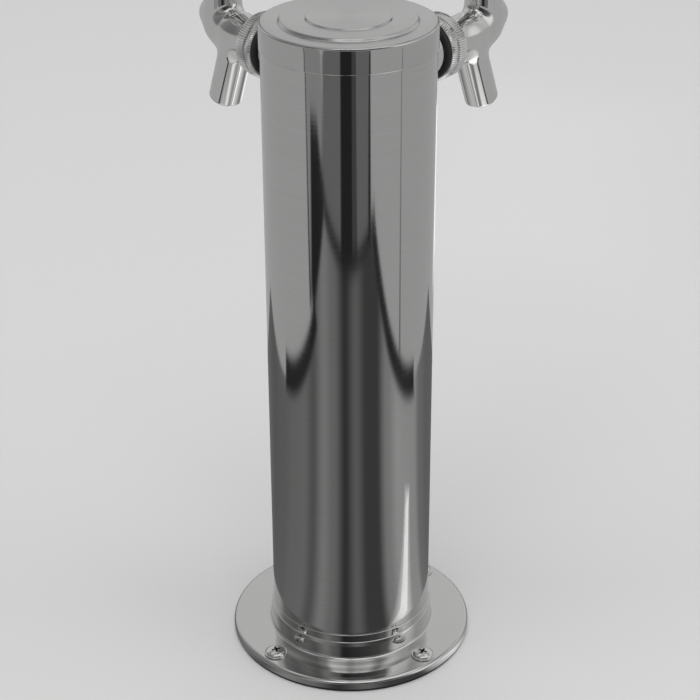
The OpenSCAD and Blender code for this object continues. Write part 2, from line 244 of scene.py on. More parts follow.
def endless(p, point, direction, radius):
    """Distance from an endless straight bar."""
    d = np.array(direction, float)
    d /= np.linalg.norm(d)
    offset = p - np.array(point, float)
    return np.linalg.norm(offset - (offset @ d)[:, None] * d, axis=1) - radius


def beyond(p, point, direction):
    """Distance past a plane, along its direction."""
    d = np.array(direction, float)
    return (p - np.array(point, float)) @ (d / np.linalg.norm(d))


def slope(field, p, step=0.02):
    """Numerical gradient of a distance field."""
    parts = []
    for axis in range(3):
        shift = np.zeros(3)
        shift[axis] = step
        parts.append((field(p + shift) - field(p - shift)) / (2 * step))
    return np.stack(parts, axis=1)


CORNERS = np.array([(x, y, z) for x in (0, 1) for y in (0, 1) for z in (0, 1)])
EDGES = [(a, b) for a in range(8) for b in range(a + 1, 8) if np.abs(CORNERS[a] - CORNERS[b]).sum() == 1]


def sampled(field, axes):
    """A field's values over a grid, worked out in parts to save memory."""
    grid = np.stack(np.meshgrid(*axes, indexing="ij"), axis=-1).reshape(-1, 3)
    parts = [field(part) for part in np.array_split(grid, GRID_PARTS)]
    return np.concatenate(parts).reshape([len(axis) for axis in axes])


def surface_cells(inside):
    """The grid cells that the surface passes through, and a grid that holds the number of each."""
    shape = inside.shape
    counts = sum(
        inside[x : shape[0] - 1 + x, y : shape[1] - 1 + y, z : shape[2] - 1 + z].astype(int)
        for x, y, z in CORNERS
    )
    cells = np.argwhere((counts > 0) & (counts < len(CORNERS)))
    number = np.full(counts.shape, -1)
    number[tuple(cells.T)] = np.arange(len(cells))
    return cells, number


def crossing_points(value, cells):
    """The mean of the places where the surface crosses each cell's edges, in grid steps."""
    at_corner = np.stack([value[tuple((cells + corner).T)] for corner in CORNERS], axis=1)
    total, crossings = np.zeros((len(cells), 3)), np.zeros(len(cells))
    for a, b in EDGES:
        va, vb = at_corner[:, a], at_corner[:, b]
        crosses = (va < 0) != (vb < 0)
        t = np.where(crosses, va / np.where(crosses, va - vb, 1), 0)
        total += crosses[:, None] * (CORNERS[a] + t[:, None] * (CORNERS[b] - CORNERS[a]))
        crossings += crosses
    return cells + total / crossings[:, None]


def settled(field, points, reach, rounds=3, least_steepness=0.2):
    """Moves points onto the surface, by no more than about the reach in each round."""
    for _ in range(rounds):
        gradient = slope(field, points)
        steepness = (gradient**2).sum(1)
        move = field(points) / np.maximum(steepness, least_steepness)
        points = points - np.clip(move, -reach, reach)[:, None] * gradient
    return points


def surface_quads(inside, number):
    """A quad for each grid edge that the surface crosses, between the four cells round it."""
    quads = []
    for axis in range(3):
        first, second = (axis + 1) % 3, (axis + 2) % 3
        change = inside != np.roll(inside, -1, axis)
        change[tuple(slice(None) if i != axis else -1 for i in range(3))] = False
        spots = np.argwhere(change)
        spots = spots[(spots[:, first] > 0) & (spots[:, second] > 0)]
        one, two = np.eye(3, dtype=int)[first], np.eye(3, dtype=int)[second]
        quad = np.stack([number[tuple((spots - k).T)] for k in (0 * one, one, one + two, two)], axis=1)
        outward = inside[tuple(spots.T)]
        quad[~outward] = quad[~outward][:, ::-1]
        quads.append(quad)
    return np.concatenate(quads)


def cast(name, field, low, high, step, place):
    """Makes a closed mesh of a distance field's surface, with its true normals."""
    axes = [np.arange(low[i], high[i] + step, step) for i in range(3)]
    value = sampled(field, axes)
    inside = value < 0
    cells, number = surface_cells(inside)
    grid_start = np.array([axis[0] for axis in axes])
    points = settled(field, crossing_points(value, cells) * step + grid_start, step / 2)
    mesh = bpy.data.meshes.new(name)
    mesh.from_pydata((points * MM).tolist(), [], surface_quads(inside, number).tolist())
    mesh.transform(place)
    mesh.shade_smooth()
    normals = slope(field, points)
    normals /= np.linalg.norm(normals, axis=1)[:, None]
    turn = np.array(place)[:3, :3]
    mesh.normals_split_custom_set_from_vertices((normals @ turn.T).tolist())
    return placed(name, mesh)


# ---------------------------------------------------------------- node helpers


def new_node(tree, kind, **settings):
    """Adds a node; each setting goes to the input of that name, or else to the node itself."""
    node = tree.nodes.new(kind)
    for key, value in settings.items():
        if key in node.inputs:
            node.inputs[key].default_value = value
        else:
            setattr(node, key, value)
    return node


def stretched(tree, scale):
    """Object coordinates, scaled along each axis."""
    place = new_node(tree, "ShaderNodeTexCoord")
    mapping = new_node(tree, "ShaderNodeMapping", Scale=scale)
    tree.links.new(place.outputs["Object"], mapping.inputs["Vector"])
    return mapping.outputs["Vector"]


def noise(tree, vector, scale, detail=3.0, rough=0.55):
    """Cloudy noise; most of it lies between NOISE_LOW and NOISE_HIGH."""
    node = new_node(tree, "ShaderNodeTexNoise", Scale=scale, Detail=detail, Roughness=rough)
    tree.links.new(vector, node.inputs["Vector"])
    return node.outputs["Fac"]


def spread(tree, source, low, high, from_low=NOISE_LOW, from_high=NOISE_HIGH):
    """A source's usual range stretched to a new one."""
    node = new_node(tree, "ShaderNodeMapRange")
    node.inputs["From Min"].default_value, node.inputs["From Max"].default_value = from_low, from_high
    node.inputs["To Min"].default_value, node.inputs["To Max"].default_value = low, high
    tree.links.new(source, node.inputs["Value"])
    return node.outputs["Result"]


def tinted(tree, source, dark, light):
    """A colour between two, chosen by a source."""
    ramp = new_node(tree, "ShaderNodeValToRGB")
    first, last = ramp.color_ramp.elements
    first.position, last.position = NOISE_LOW, NOISE_HIGH
    first.color, last.color = (*dark, 1), (*light, 1)
    tree.links.new(source, ramp.inputs["Fac"])
    return ramp.outputs["Color"]


def added(tree, a, b):
    node = new_node(tree, "ShaderNodeMath", operation="ADD")
    tree.links.new(a, node.inputs[0])
    tree.links.new(b, node.inputs[1])
    return node.outputs[0]


def bumped(tree, height, strength, distance):
    node = new_node(tree, "ShaderNodeBump", Strength=strength, Distance=distance)
    tree.links.new(height, node.inputs["Height"])
    return node.outputs["Normal"]


def material(name, **settings):
    """A node material whose constant numbers are set on the shader itself."""
    made = bpy.data.materials.new(name)
    made.use_nodes = True
    tree = made.node_tree
    shader = tree.nodes["Principled BSDF"]
    for key, value in settings.items():
        shader.inputs[key.replace("_", " ")].default_value = value
    return made, tree, shader


def paint(shader, **sources):
    """Links a source to each named input of a shader."""
    for name, source in sources.items():
        shader.id_data.links.new(source, shader.inputs[name.replace("_", " ")])


# ---------------------------------------------------------------- materials


def grey(value):
    return (value, value, value * 0.99)


def brushed_round(name, tone, smooth, rough, anisotropy, lines=2600):
    """Polished steel with fine lines that run round the column's axis."""
    made, tree, shader = material(name, Metallic=1.0, Anisotropic=anisotropy, Anisotropic_Rotation=0.25)
    tangent = new_node(tree, "ShaderNodeTangent", direction_type="RADIAL", axis="Z")
    brushing = noise(tree, stretched(tree, (6, 6, lines)), 1.0, 4.0, 0.7)
    clouds = noise(tree, stretched(tree, EVEN), 14.0)
    color = tinted(tree, brushing, grey(tone * 0.95), grey(tone * 1.04))
    roughness = added(tree, spread(tree, brushing, smooth, rough), spread(tree, clouds, -0.01, 0.015))
    scratches = bumped(tree, brushing, 0.1, 0.00002)
    paint(shader, Base_Color=color, Roughness=roughness, Normal=scratches, Tangent=tangent.outputs[0])
    return made


def column_steel():
    return brushed_round("column_steel", tone=0.60, smooth=0.045, rough=0.075, anisotropy=0.6)


def cap_steel():
    """The skirt is polished like the column, and the pressed top is satin."""
    made = brushed_round("cap_steel", tone=0.59, smooth=0.05, rough=0.08, anisotropy=0.5)
    tree = made.node_tree
    shader = tree.nodes["Principled BSDF"]
    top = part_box("tower_cap")[1].z
    polished_z, satin_z = top - 0.0030, top - 0.0022
    place = new_node(tree, "ShaderNodeTexCoord")
    split = new_node(tree, "ShaderNodeSeparateXYZ")
    tree.links.new(place.outputs["Object"], split.inputs["Vector"])
    satin = spread(tree, split.outputs["Z"], 0.0, 0.2, polished_z, satin_z)
    skirt = shader.inputs["Roughness"].links[0].from_socket
    paint(shader, Roughness=added(tree, skirt, satin))
    return made


def polished_steel():
    """The turned base: its lines are coarser and its gloss is more even."""
    return brushed_round("polished_steel", tone=0.66, smooth=0.04, rough=0.08, anisotropy=0.2, lines=300)


def plated(name, tone, rough, wave):
    """Plating over a cast or turned metal, with faint waves and handling marks."""
    made, tree, shader = material(name, Metallic=1.0)
    marks = noise(tree, stretched(tree, EVEN), 90.0, 4.0)
    waves = noise(tree, stretched(tree, EVEN), 130.0, 1.0)
    color = tinted(tree, marks, grey(tone * 0.96), grey(tone * 1.02))
    roughness = spread(tree, marks, rough * 0.75, rough * 1.35)
    paint(shader, Base_Color=color, Roughness=roughness, Normal=bumped(tree, waves, wave, 0.0002))
    return made


# Painted shade: the near-black colour of the screws' cross recesses.
RECESS_SHADE_COLOR = (0.06, 0.06, 0.06, 1)


def screw_steel():
    """Bright plating with painted shade: the cross recess is coloured near black."""
    made = plated("screw_steel", tone=0.72, rough=0.11, wave=0.03)
    tree = made.node_tree
    shader = tree.nodes["Principled BSDF"]
    plain = shader.inputs["Base Color"].links[0].from_socket
    # Painted shade: faces marked "shade" take the near-black recess colour.
    recess = new_node(tree, "ShaderNodeAttribute", attribute_name="shade")
    mix = new_node(tree, "ShaderNodeMix", data_type="RGBA")
    mix.inputs["B"].default_value = RECESS_SHADE_COLOR
    tree.links.new(recess.outputs["Fac"], mix.inputs["Factor"])
    tree.links.new(plain, mix.inputs["A"])
    paint(shader, Base_Color=mix.outputs["Result"])
    return made


def tube_steel():
    made, tree, shader = material("tube_steel", Metallic=1.0)
    lines = noise(tree, stretched(tree, (900, 900, 20)), 1.0)
    color = tinted(tree, lines, grey(0.54), grey(0.62))
    paint(shader, Base_Color=color, Roughness=spread(tree, lines, 0.24, 0.34))
    return made


def soft_black(name, dark, light, smooth, rough, grain, depth):
    """Rubber or moulded plastic: near black, with a fine grain."""
    made, tree, shader = material(name)
    speckle = noise(tree, stretched(tree, EVEN), grain, 5.0)
    clouds = noise(tree, stretched(tree, EVEN), 60.0, 3.0)
    color = tinted(tree, clouds, dark, light)
    roughness = spread(tree, clouds, smooth, rough)
    paint(shader, Base_Color=color, Roughness=roughness, Normal=bumped(tree, speckle, 0.3, depth))
    return made


def nylon():
    made, tree, shader = material("nylon", Subsurface_Weight=0.2, Subsurface_Scale=0.002)
    clouds = noise(tree, stretched(tree, EVEN), 180.0)
    ivory = tinted(tree, clouds, (0.74, 0.72, 0.65), (0.82, 0.80, 0.74))
    paint(shader, Base_Color=ivory, Roughness=spread(tree, clouds, 0.38, 0.5))
    return made


def foam():
    made, tree, shader = material("foam", Roughness=0.95)
    cells = new_node(tree, "ShaderNodeTexVoronoi", Scale=700.0)
    tree.links.new(stretched(tree, EVEN), cells.inputs["Vector"])
    clouds = noise(tree, stretched(tree, EVEN), 50.0)
    straw = tinted(tree, clouds, (0.70, 0.63, 0.42), (0.80, 0.74, 0.54))
    paint(shader, Base_Color=straw, Normal=bumped(tree, cells.outputs["Distance"], 0.6, 0.0006))
    return made


MATERIALS = {
    "column_steel": column_steel(),
    "cap_steel": cap_steel(),
    "polished_steel": polished_steel(),
    "screw_steel": screw_steel(),
    "chrome": plated("chrome", tone=0.72, rough=0.05, wave=0.015),
    "nut_chrome": plated("nut_chrome", tone=0.74, rough=0.10, wave=0.03),
    "plated_brass": plated("plated_brass", tone=0.64, rough=0.28, wave=0.08),
    "tube_steel": tube_steel(),
    "black_rubber": soft_black(
        "black_rubber",
        dark=(0.016, 0.016, 0.017),
        light=(0.028, 0.028, 0.03),
        smooth=0.6,
        rough=0.8,
        grain=2600,
        depth=0.0001,
    ),
    "black_plastic": soft_black(
        "black_plastic",
        dark=(0.012, 0.012, 0.013),
        light=(0.02, 0.02, 0.021),
        smooth=0.16,
        rough=0.26,
        grain=900,
        depth=0.00003,
    ),
    "nylon": nylon(),
    "foam": foam(),
}


def dress(piece, body, slot, *nodes):
    """Gives a piece its material and its body, and hides the CAD nodes that it stands for."""
    piece.data.materials.clear()
    piece.data.materials.append(MATERIALS[slot])
    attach(piece, body)
    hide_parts(*nodes)


for cad_node in frame["nodes"].values():
    for material_slot in cad_node.material_slots:
        material_slot.material = MATERIALS[material_slot.material.name.split(".")[0]]


# ---------------------------------------------------------------- column, cap and base


FLANGE_TOP_Z = 5.5
SCREW_HEAD_R = 5.65
SCREW_TWISTS = (20, 65, 38, 5)


def make_column():
    low, high = box_mm("column_tube")
    radius = high.x
    wall, edge = 1.2, 0.3
    shank_head_lip = 1.2
    rows = 60
    inner_r = radius - wall
    heights = [low.z + edge + (high.z - low.z - 2 * edge) * i / rows for i in range(rows + 1)]
    outside = [(radius, z) for z in heights]
    inside = [(inner_r, z) for z in reversed(heights[:: rows // 4])]
    outline = [(radius - edge, low.z), *outside, (radius - edge, high.z), (inner_r, high.z)]
    outline += [*inside[1:-1], (inner_r, low.z)]
    column = lathe("column_skin", outline, UPRIGHT, 384)
    cutters = []
    for side in SIDES:
        place = tap_place(side)
        hole_r = span(side + "_shank", place)[1][1] - shank_head_lip
        cutters.append(rod(hole_r, radius - 20, radius + 5, place @ ALONG_X))
    carve(column, cutters)
    dress(column, "tower", "column_steel", "column_tube")


def make_cap():
    low, high = box_mm("tower_cap")
    step_h, button_h = 1.2, 0.6
    step_r, button_r = 30.0, 18.5
    skirt_wall, top_wall = 0.5, 0.8
    rim_round, hem, inner_corner = 1.2, 0.25, 0.6
    rim_r, rim_z = high.x, high.z - step_h - button_h
    step_z, button_z = rim_z + step_h, high.z
    inner_r, under_z = rim_r - skirt_wall, rim_z - top_wall
    outline = [
        (rim_r - hem, low.z),
        (rim_r, low.z + hem),
        (rim_r, low.z + 4),
        (rim_r, low.z + 8),
        *arc(rim_r - rim_round, rim_z - rim_round, rim_round, 0, 90, 10),
        (step_r + 0.9, rim_z),
        *ease((step_r + 0.5, rim_z), (step_r - 0.8, step_z), 12),
        (step_r - 2.5, step_z),
        (button_r + 1.6, step_z),
        *ease((button_r + 0.5, step_z), (button_r - 0.5, button_z), 10),
        (button_r - 1.8, button_z),
        (8, button_z),
        (0, button_z),
        (0, button_z - top_wall),
        (step_r - 2.5, step_z - top_wall),
        (step_r - 1.4, under_z),
        (inner_r - inner_corner, under_z),
        (inner_r, under_z - inner_corner),
        (inner_r, low.z),
    ]
    cap = lathe("cap_shell", outline, UPRIGHT, 320, sharp_degrees=40)
    dress(cap, "cap", "cap_steel", "tower_cap")


def make_flange():
    """The base: a flat flange, a cove, a slightly drawn-in ring and the collar round the column."""
    low, high = box_mm("base_flange")
    edge_r, top_z = high.x, FLANGE_TOP_Z
    hole_r, socket_r = 34.0, 38.125
    ring_r, ring_top_r, ring_z = 39.7, 39.1, 14.5
    collar_r = 38.75
    rim, cove, foot, edge = 1.8, 1.3, 0.5, 0.25
    outline = [
        (hole_r, low.z),
        (edge_r - foot, low.z),
        (edge_r, low.z + foot),
        *arc(edge_r - rim, top_z - rim, rim, 0, 90, 12),
        (edge_r - rim - 3, top_z),
        (50, top_z),
        (ring_r + cove + 4, top_z),
        *arc(ring_r + cove, top_z + cove, cove, -90, -180, 8),
    ]
    steps = 8
    draw_in = 2.4
    for i in range(1, steps + 1):
        t = i / steps
        height = top_z + cove + (ring_z - edge - top_z - cove) * t
        outline.append((ring_r + (ring_top_r - ring_r) * t**draw_in, height))
    outline += [
        *arc(ring_top_r - edge, ring_z - edge, edge, 20, 90, 4),
        (collar_r, ring_z + 0.05),
        (collar_r, high.z - 0.3),
        *arc(collar_r - edge, high.z - edge, edge, 0, 90, 4),
        (socket_r, high.z - 0.05),
        (socket_r, top_z),
        (hole_r, top_z),
    ]
    flange = lathe("flange_shell", outline, UPRIGHT, 320)
    dress(flange, "tower", "polished_steel", "base_flange")


def screw_places():
    """The four screws, from the corners of their box: they sit on the diagonals."""
    reach = box_mm("base_screws")[1].x - SCREW_HEAD_R
    for i in range(4):
        angle = math.radians(45 + 90 * i)
        flat = Vector((math.copysign(reach, math.cos(angle)), math.copysign(reach, math.sin(angle)), 0))
        yield i, Matrix.Translation(flat * MM)


def screw_thread(start, end, core_r, crest_r, pitch=0.8):
    """Outline points of the thread's ridges."""
    points = []
    z = start
    while z < end:
        points += [(core_r, z), (crest_r, z + pitch * 0.4), (crest_r, z + pitch * 0.55)]
        z += pitch
    return points


def make_screw(index, place):
    """A pan head screw with a tapered cross recess and a threaded shank."""
    low, high = box_mm("base_screws")
    head_r, head_z, seat_z = SCREW_HEAD_R, high.z, FLANGE_TOP_Z
    shank_r, core_r, neck_r = 2.4, 1.95, 2.1
    dome_r, dome_z, dome_steps = head_r - 0.85, seat_z + 0.65, 10
    outline = [
        (0, low.z),
        (core_r - 0.4, low.z),
        *screw_thread(low.z + 1.0, -1.0, core_r, shank_r),
        (neck_r, -0.4),
        (neck_r, seat_z),
        (head_r - 0.3, seat_z),
        (head_r, seat_z + 0.3),
        *arc(head_r - 0.25, seat_z + 0.5, 0.25, 0, 90, 4),
        (head_r - 0.55, seat_z + 0.72),
        (head_r - 0.7, seat_z + 0.62),
    ]
    for i in range(dome_steps + 1):
        angle = math.radians(90 * i / dome_steps)
        radius = dome_r * math.cos(angle) if i < dome_steps else 0
        outline.append((radius, dome_z + (head_z - dome_z) * math.sin(angle)))
    screw = lathe(f"screw_{index}", outline, place, 64, closed=False, sharp_degrees=50)
    twist = Matrix.Rotation(math.radians(SCREW_TWISTS[index]), 4, "Z")
    carve(screw, [cross_cutter(place @ twist, head_z)], 50)
    shade_recess(screw, place, dome_r, dome_z, head_z)
    return screw


def shade_recess(screw, place, dome_r, dome_z, head_z):
    """Marks the faces that lie below the dome as "shade", where the screw's material paints shade near
    black.
    """
    below, widest = 0.12, 3
    shade = screw.data.attributes.new("shade", "FLOAT", "FACE")
    axis = place.translation.xy / MM
    for face in screw.data.polygons:
        reach = (face.center.xy / MM - axis).length
        surface = dome_z + (head_z - dome_z) * math.sqrt(max(0, 1 - (reach / dome_r) ** 2))
        if FLANGE_TOP_Z - 0.5 < face.center.z / MM < surface - below and reach < widest:
            shade.data[face.index].value = 1.0


def cross_cutter(place, head_z):
    """A cross whose wings narrow downwards to a point."""
    bm = bmesh.new()
    wing_l, wing_w, tip, depth = 2.45, 0.52, 0.45, 1.75
    over_z, floor_z = (head_z + 0.3) * MM, (head_z - depth) * MM
    top, bottom = [], []
    for i in range(4):
        turn = Matrix.Rotation(math.radians(90 * i), 3, "Z")
        for x, y in ((wing_w, -wing_w), (wing_l, -wing_w), (wing_l, wing_w)):
            spot = turn @ Vector((x, y, 0))
            top.append(bm.verts.new((spot.x * MM, spot.y * MM, over_z)))
            spot = turn @ Vector((tip if x == wing_w else tip * 1.9, math.copysign(tip * 0.6, y), 0))
            bottom.append(bm.verts.new((spot.x * MM, spot.y * MM, floor_z)))
    count = len(top)
    for i in range(count):
        j = (i + 1) % count
        bm.faces.new((top[i], top[j], bottom[j], bottom[i]))
    bm.faces.new(top)
    bm.faces.new(bottom)
    bmesh.ops.transform(bm, matrix=place, verts=bm.verts)
    return finish_mesh("cutter", bm)


def make_base_screws():
    screws = [make_screw(index, place) for index, place in screw_places()]
    for screw in screws:
        dress(screw, "tower", "screw_steel", "base_screws")


# ---------------------------------------------------------------- taps


SHANK_HOLE_R = 11.05
SHANK_HEAD_X = 58.4
NUT_THREAD_R = 13.0
STUD_HOLE_R = 4.75
LEVER_X = math.hypot(*JOINTS["left_lever_tilt"]["pos_m"][:2]) / MM
AT_LEVER = Matrix.Translation((LEVER_X * MM, 0, 0))
BODY_START_X = 61.2
NECK_TOP_Z = 25
BALL_LEDGE_Z = 13.4
SPOUT_LEAN = math.radians(22)
SPOUT_TOP = np.array((86.0, 0.0, 0.0))
SPOUT_DOWN = np.array((math.sin(SPOUT_LEAN), 0.0, -math.cos(SPOUT_LEAN)))
SPOUT_TURN = SPOUT_TOP + SPOUT_DOWN * 13 / math.cos(SPOUT_LEAN)
SPOUT_TIP = SPOUT_TOP + SPOUT_DOWN * 35.4 / math.cos(SPOUT_LEAN)
ORIGIN = (0, 0, 0)
OUT = (1, 0, 0)
UP = (0, 0, 1)


def make_collar(side, place):
    """The convex spacer between the column and the coupling."""
    start, end = 36.2, span(side + "_shank_collar", place)[1][0]
    outline = [
        (SHANK_HOLE_R, start),
        (12.0, start),
        (12.0, 39.5),
        (12.25, 42),
        (12.4, 46),
        (12.3, 50),
        (12.05, end - 1.0),
        *arc(11.65, end - 0.4, 0.4, 0, 90, 4),
        (SHANK_HOLE_R, end),
    ]
    dress(lathe(side + "_collar", outline, place @ ALONG_X), "tower", "chrome", side + "_shank_collar")


def make_gasket(side, place):
    low, high = span(side + "_collar_gasket", place)
    outer_r, start, end = high[1], low[0], high[0]
    half = (end - start) / 2
    bulge = arc(outer_r - half, start + half, half, -90, 90, 10)
    outline = [(SHANK_HOLE_R, start), *bulge, (SHANK_HOLE_R, end)]
    piece = lathe(side + "_gasket", outline, place @ ALONG_X, 96)
    dress(piece, "tower", "black_rubber", side + "_collar_gasket")


def make_nut(side, place):
    """The coupling nut: two knurled bands, a groove and its spanner holes."""
    low, high = span(side + "_coupling_nut", place)
    nut_r, start, end = high[1], low[0], high[0]
    groove_1, groove_2, groove_r = 59.4, 60.7, 14.3
    hole_r, hole_floor, hole_top = 1.1, 13.4, 18
    teeth, depth = 88, 0.42
    outline = [
        (NUT_THREAD_R, SHANK_HEAD_X),
        (SHANK_HOLE_R, SHANK_HEAD_X),
        (SHANK_HOLE_R, start),
        (nut_r - 1.3, start),
        (nut_r - 0.75, start + 0.25),
        (nut_r, start + 1.1),
        (nut_r, groove_1 - 0.25),
        (nut_r - 0.45, groove_1),
        (groove_r, groove_1 + 0.15),
        (groove_r, groove_2 - 0.15),
        (nut_r - 0.45, groove_2),
        (nut_r, groove_2 + 0.25),
        (nut_r, end - 0.9),
        (nut_r - 0.6, end - 0.15),
        (nut_r - 1.0, end),
        (NUT_THREAD_R, end),
    ]
    knurl = (teeth, depth, start + 0.9, end - 0.5, nut_r - 0.1)
    nut = lathe(side + "_nut", outline, place @ ALONG_X, teeth * 8, knurl=knurl, sharp_degrees=28)
    cutters = []
    for i in range(4):
        spin = Matrix.Rotation(math.radians(45 + 90 * i), 4, "X")
        groove = Matrix.Translation((((groove_1 + groove_2) / 2) * MM, 0, 0))
        cutters.append(rod(hole_r, hole_floor, hole_top, place @ spin @ groove, 32))
    carve(nut, cutters, 28)
    dress(nut, "tower", "nut_chrome", side + "_coupling_nut")


def faucet_shell(p):
    """The cast faucet: a barrel that swells into a belly and nose, a neck and a spout."""
    barrel = limb(p, (60, 0, -0.5), (95, 0, 0), 8.8, 8.8)
    stub = blend_max(endless(p, ORIGIN, OUT, 12.9), beyond(p, (67.5, 0, 0), OUT), 1.0)
    belly = limb(p, (96, 0, 1.8), (106, 0, 4.8), 8.1, 7.9)
    neck = limb(p, (LEVER_X, 0, 0), (LEVER_X, 0, 40), 8.9, 8.9)
    spout = limb(p, SPOUT_TOP, SPOUT_TIP + SPOUT_DOWN * 20, 8.0, 8.0)
    shape = blend_min(barrel, belly, 2)
    shape = blend_min(shape, spout, 6)
    shape = blend_min(shape, neck, 4)
    shape = blend_min(shape, stub, 3)
    shape = blend_max(shape, beyond(p, (0, 0, NECK_TOP_Z), UP), 0.4)
    shape = blend_max(shape, beyond(p, (BODY_START_X, 0, 0), (-1, 0, 0)), 0.4)
    return blend_max(shape, beyond(p, SPOUT_TIP, SPOUT_DOWN), 1.2)


def faucet_passages(p):
    """The inlet, the shaft's bore, the lever's well and the way down the spout."""
    well_r, well_back = 5.2, 3
    inlet = np.maximum(endless(p, ORIGIN, OUT, 6.9), beyond(p, (68, 0, 0), OUT))
    chamber = np.maximum(endless(p, ORIGIN, OUT, 4.2), beyond(p, (105.6, 0, 0), OUT))
    well = np.maximum(endless(p, (LEVER_X, 0, 0), UP, well_r), -beyond(p, ORIGIN, UP))
    middle_z = BALL_LEDGE_Z / 2
    back = endless(p, (LEVER_X - well_back, 0, 0), UP, well_r)
    back = np.maximum(back, np.abs(p[:, 2] - middle_z) - middle_z)
    seat = np.maximum(endless(p, (LEVER_X, 0, 0), UP, 6.5), -beyond(p, (0, 0, BALL_LEDGE_Z), UP))
    drop = limb(p, (82, 0, 0), SPOUT_TURN, 4.2, 5.0)
    outlet = np.maximum(endless(p, SPOUT_TOP, SPOUT_DOWN, 5.0), -beyond(p, SPOUT_TURN, SPOUT_DOWN))
    return np.minimum.reduce([inlet, chamber, well, back, seat, drop, outlet])


def faucet_field(p):
    return blend_max(faucet_shell(p), -faucet_passages(p), 0.9)


def make_faucet(side, place):
    step = 0.5
    low, high = span(side + "_faucet_body", place)
    margin = 1.5
    piece = cast(side + "_faucet", faucet_field, low - margin, high + margin, step, place)
    dress(piece, "tower", "chrome", side + "_faucet_body")


def make_bonnet(side, place):
    """The knurled ring that holds the lever down."""
    low, high = span(side + "_bonnet", place)
    r, start, end = high[1], low[2], high[2]
    waist_1, waist_2, waist_r = start + 6.5, start + 7.5, r - 1.2
    neck_hole_r, washer_r, washer_z = 8.95, 5.9, 26.6
    lip = 1.0
    teeth, depth = 80, 0.4
    outline = [
        (neck_hole_r, start),
        (r - 0.7, start),
        (r, start + 0.7),
        (r, waist_1 - 0.25),
        (r - 0.45, waist_1),
        (waist_r, waist_1 + 0.1),
        (waist_r, waist_2 - 0.1),
        (r - 0.45, waist_2),
        (r, waist_2 + 0.25),
        (r, end - 1.4),
        (r - 0.6, end - 0.55),
        *arc(r - 1.9, end - lip, lip, 25, 90, 5),
        (9.6, end),
        *arc(8.6, end - lip, lip, 90, 170, 5),
        (washer_r, washer_z),
        (neck_hole_r, washer_z),
    ]
    knurl = (teeth, depth, start + 0.6, end - 1.2, r - 0.1)
    spot = place @ AT_LEVER
    piece = lathe(side + "_bonnet_ring", outline, spot, teeth * 8, knurl=knurl, sharp_degrees=28)
    dress(piece, "tower", "nut_chrome", side + "_bonnet")


def make_lever(side, place):
    """The lever turned from one bar: tip, arm, ball, slim neck, trumpet and threaded stud."""
    low, high = span(side + "_lever", place)
    ball_z, ball_r = 20.0, 6.3
    tip_r, arm_tip_r, arm_r, neck_r, stud_r = 2.3, 1.92, 2.1, 2.8, 4.7
    trumpet_z, trumpet_steps, flare = 31, 10, 2.4
    collar_z, collar_r, collar_h, collar_round = 41.0, 7.6, 3.5, 0.9
    thread_pitch, thread_depth = 1.0, 0.5
    below = math.degrees(math.acos(arm_r / ball_r))
    above = math.degrees(math.acos(neck_r / ball_r))
    outline = [(0, low[2]), *arc(0, 0, tip_r, -80, 35, 10), (arm_tip_r, 3), (arm_r, ball_z - 7)]
    outline += arc(0, ball_z, ball_r, -below, above, 24)
    outline += [(neck_r, ball_z + 7.5), (neck_r, trumpet_z)]
    for i in range(1, trumpet_steps + 1):
        t = i / trumpet_steps
        radius = neck_r + (collar_r - 1.4 - neck_r) * t**flare
        outline.append((radius, trumpet_z + (collar_z - trumpet_z) * t))
    middle_r, collar_top = collar_r - collar_round, collar_z + collar_h
    outline += arc(middle_r, collar_z + collar_round, collar_round, -70, 0, 5)
    outline += arc(middle_r, collar_top - collar_round, collar_round, 0, 90, 5)
    outline += [(stud_r, collar_top)]
    z = collar_top + 0.8
    while z < high[2] - 1.5:
        outline += [(stud_r, z), (stud_r - thread_depth, z + thread_pitch / 2)]
        z += thread_pitch
    outline += [(stud_r - 0.7, high[2]), (0, high[2])]
    piece = lathe(side + "_lever_bar", outline, place @ AT_LEVER, 96, closed=False)
    dress(piece, side + "_lever", "chrome", side + "_lever")


def make_ferrule(side, place):
    low, high = span(side + "_handle_ferrule", place)
    start, end, r = low[2], high[2], high[1]
    outline = [
        (STUD_HOLE_R, start),
        (r - 0.5, start),
        *arc(r - 0.5, start + 0.5, 0.5, -90, 0, 4),
        (r, start + 1.6),
        (r - 0.5, start + 2.0),
        (r - 0.5, start + 3.4),
        (r, start + 3.8),
        (r, end - 0.4),
        (r - 0.4, end),
        (STUD_HOLE_R, end),
    ]
    piece = lathe(side + "_ferrule", outline, place @ AT_LEVER, 96)
    dress(piece, side + "_lever", "chrome", side + "_handle_ferrule")


def make_handle(side, place):
    """A moulded tap handle: a flared foot, a waist and a swelling round head."""
    low, high = span(side + "_tap_handle", place)
    start, end = low[2], high[2]
    foot_r, waist_r, head_r = 9.5, 8.0, 14.5
    foot_round, foot_lip, ferrule_hole_r = 0.8, 0.45, 7.45
    ferrule_end, stud_end = start + 11, start + 11.5
    stem_z, head_z = start + 4.6, end - head_r
    stem_steps = 28
    outline = [(ferrule_hole_r, start)]
    outline += arc(foot_r - foot_round, start + foot_round, foot_round, -90, 0, 6)
    outline += [(foot_r, start + 3.2), (foot_r - foot_lip, start + 3.6), (foot_r - foot_lip, start + 4.2)]
    for i in range(stem_steps + 1):
        t = i / stem_steps
        foot_flare = (foot_r - 0.3 - waist_r) * math.exp(-((t * 5.5) ** 2))
        swell = (head_r - waist_r) * smooth_step(t) ** 1.15
        outline.append((waist_r + foot_flare + swell, stem_z + (head_z - stem_z) * t))
    outline += arc(0, head_z, head_r, 6, 84, 13)
    outline += [(0, end), (0, stud_end + 0.5), (STUD_HOLE_R, stud_end)]
    outline += [(STUD_HOLE_R, ferrule_end), (ferrule_hole_r, ferrule_end)]
    piece = lathe(side + "_handle", outline, place @ AT_LEVER, 128)
    dress(piece, side + "_lever", "black_plastic", side + "_tap_handle")


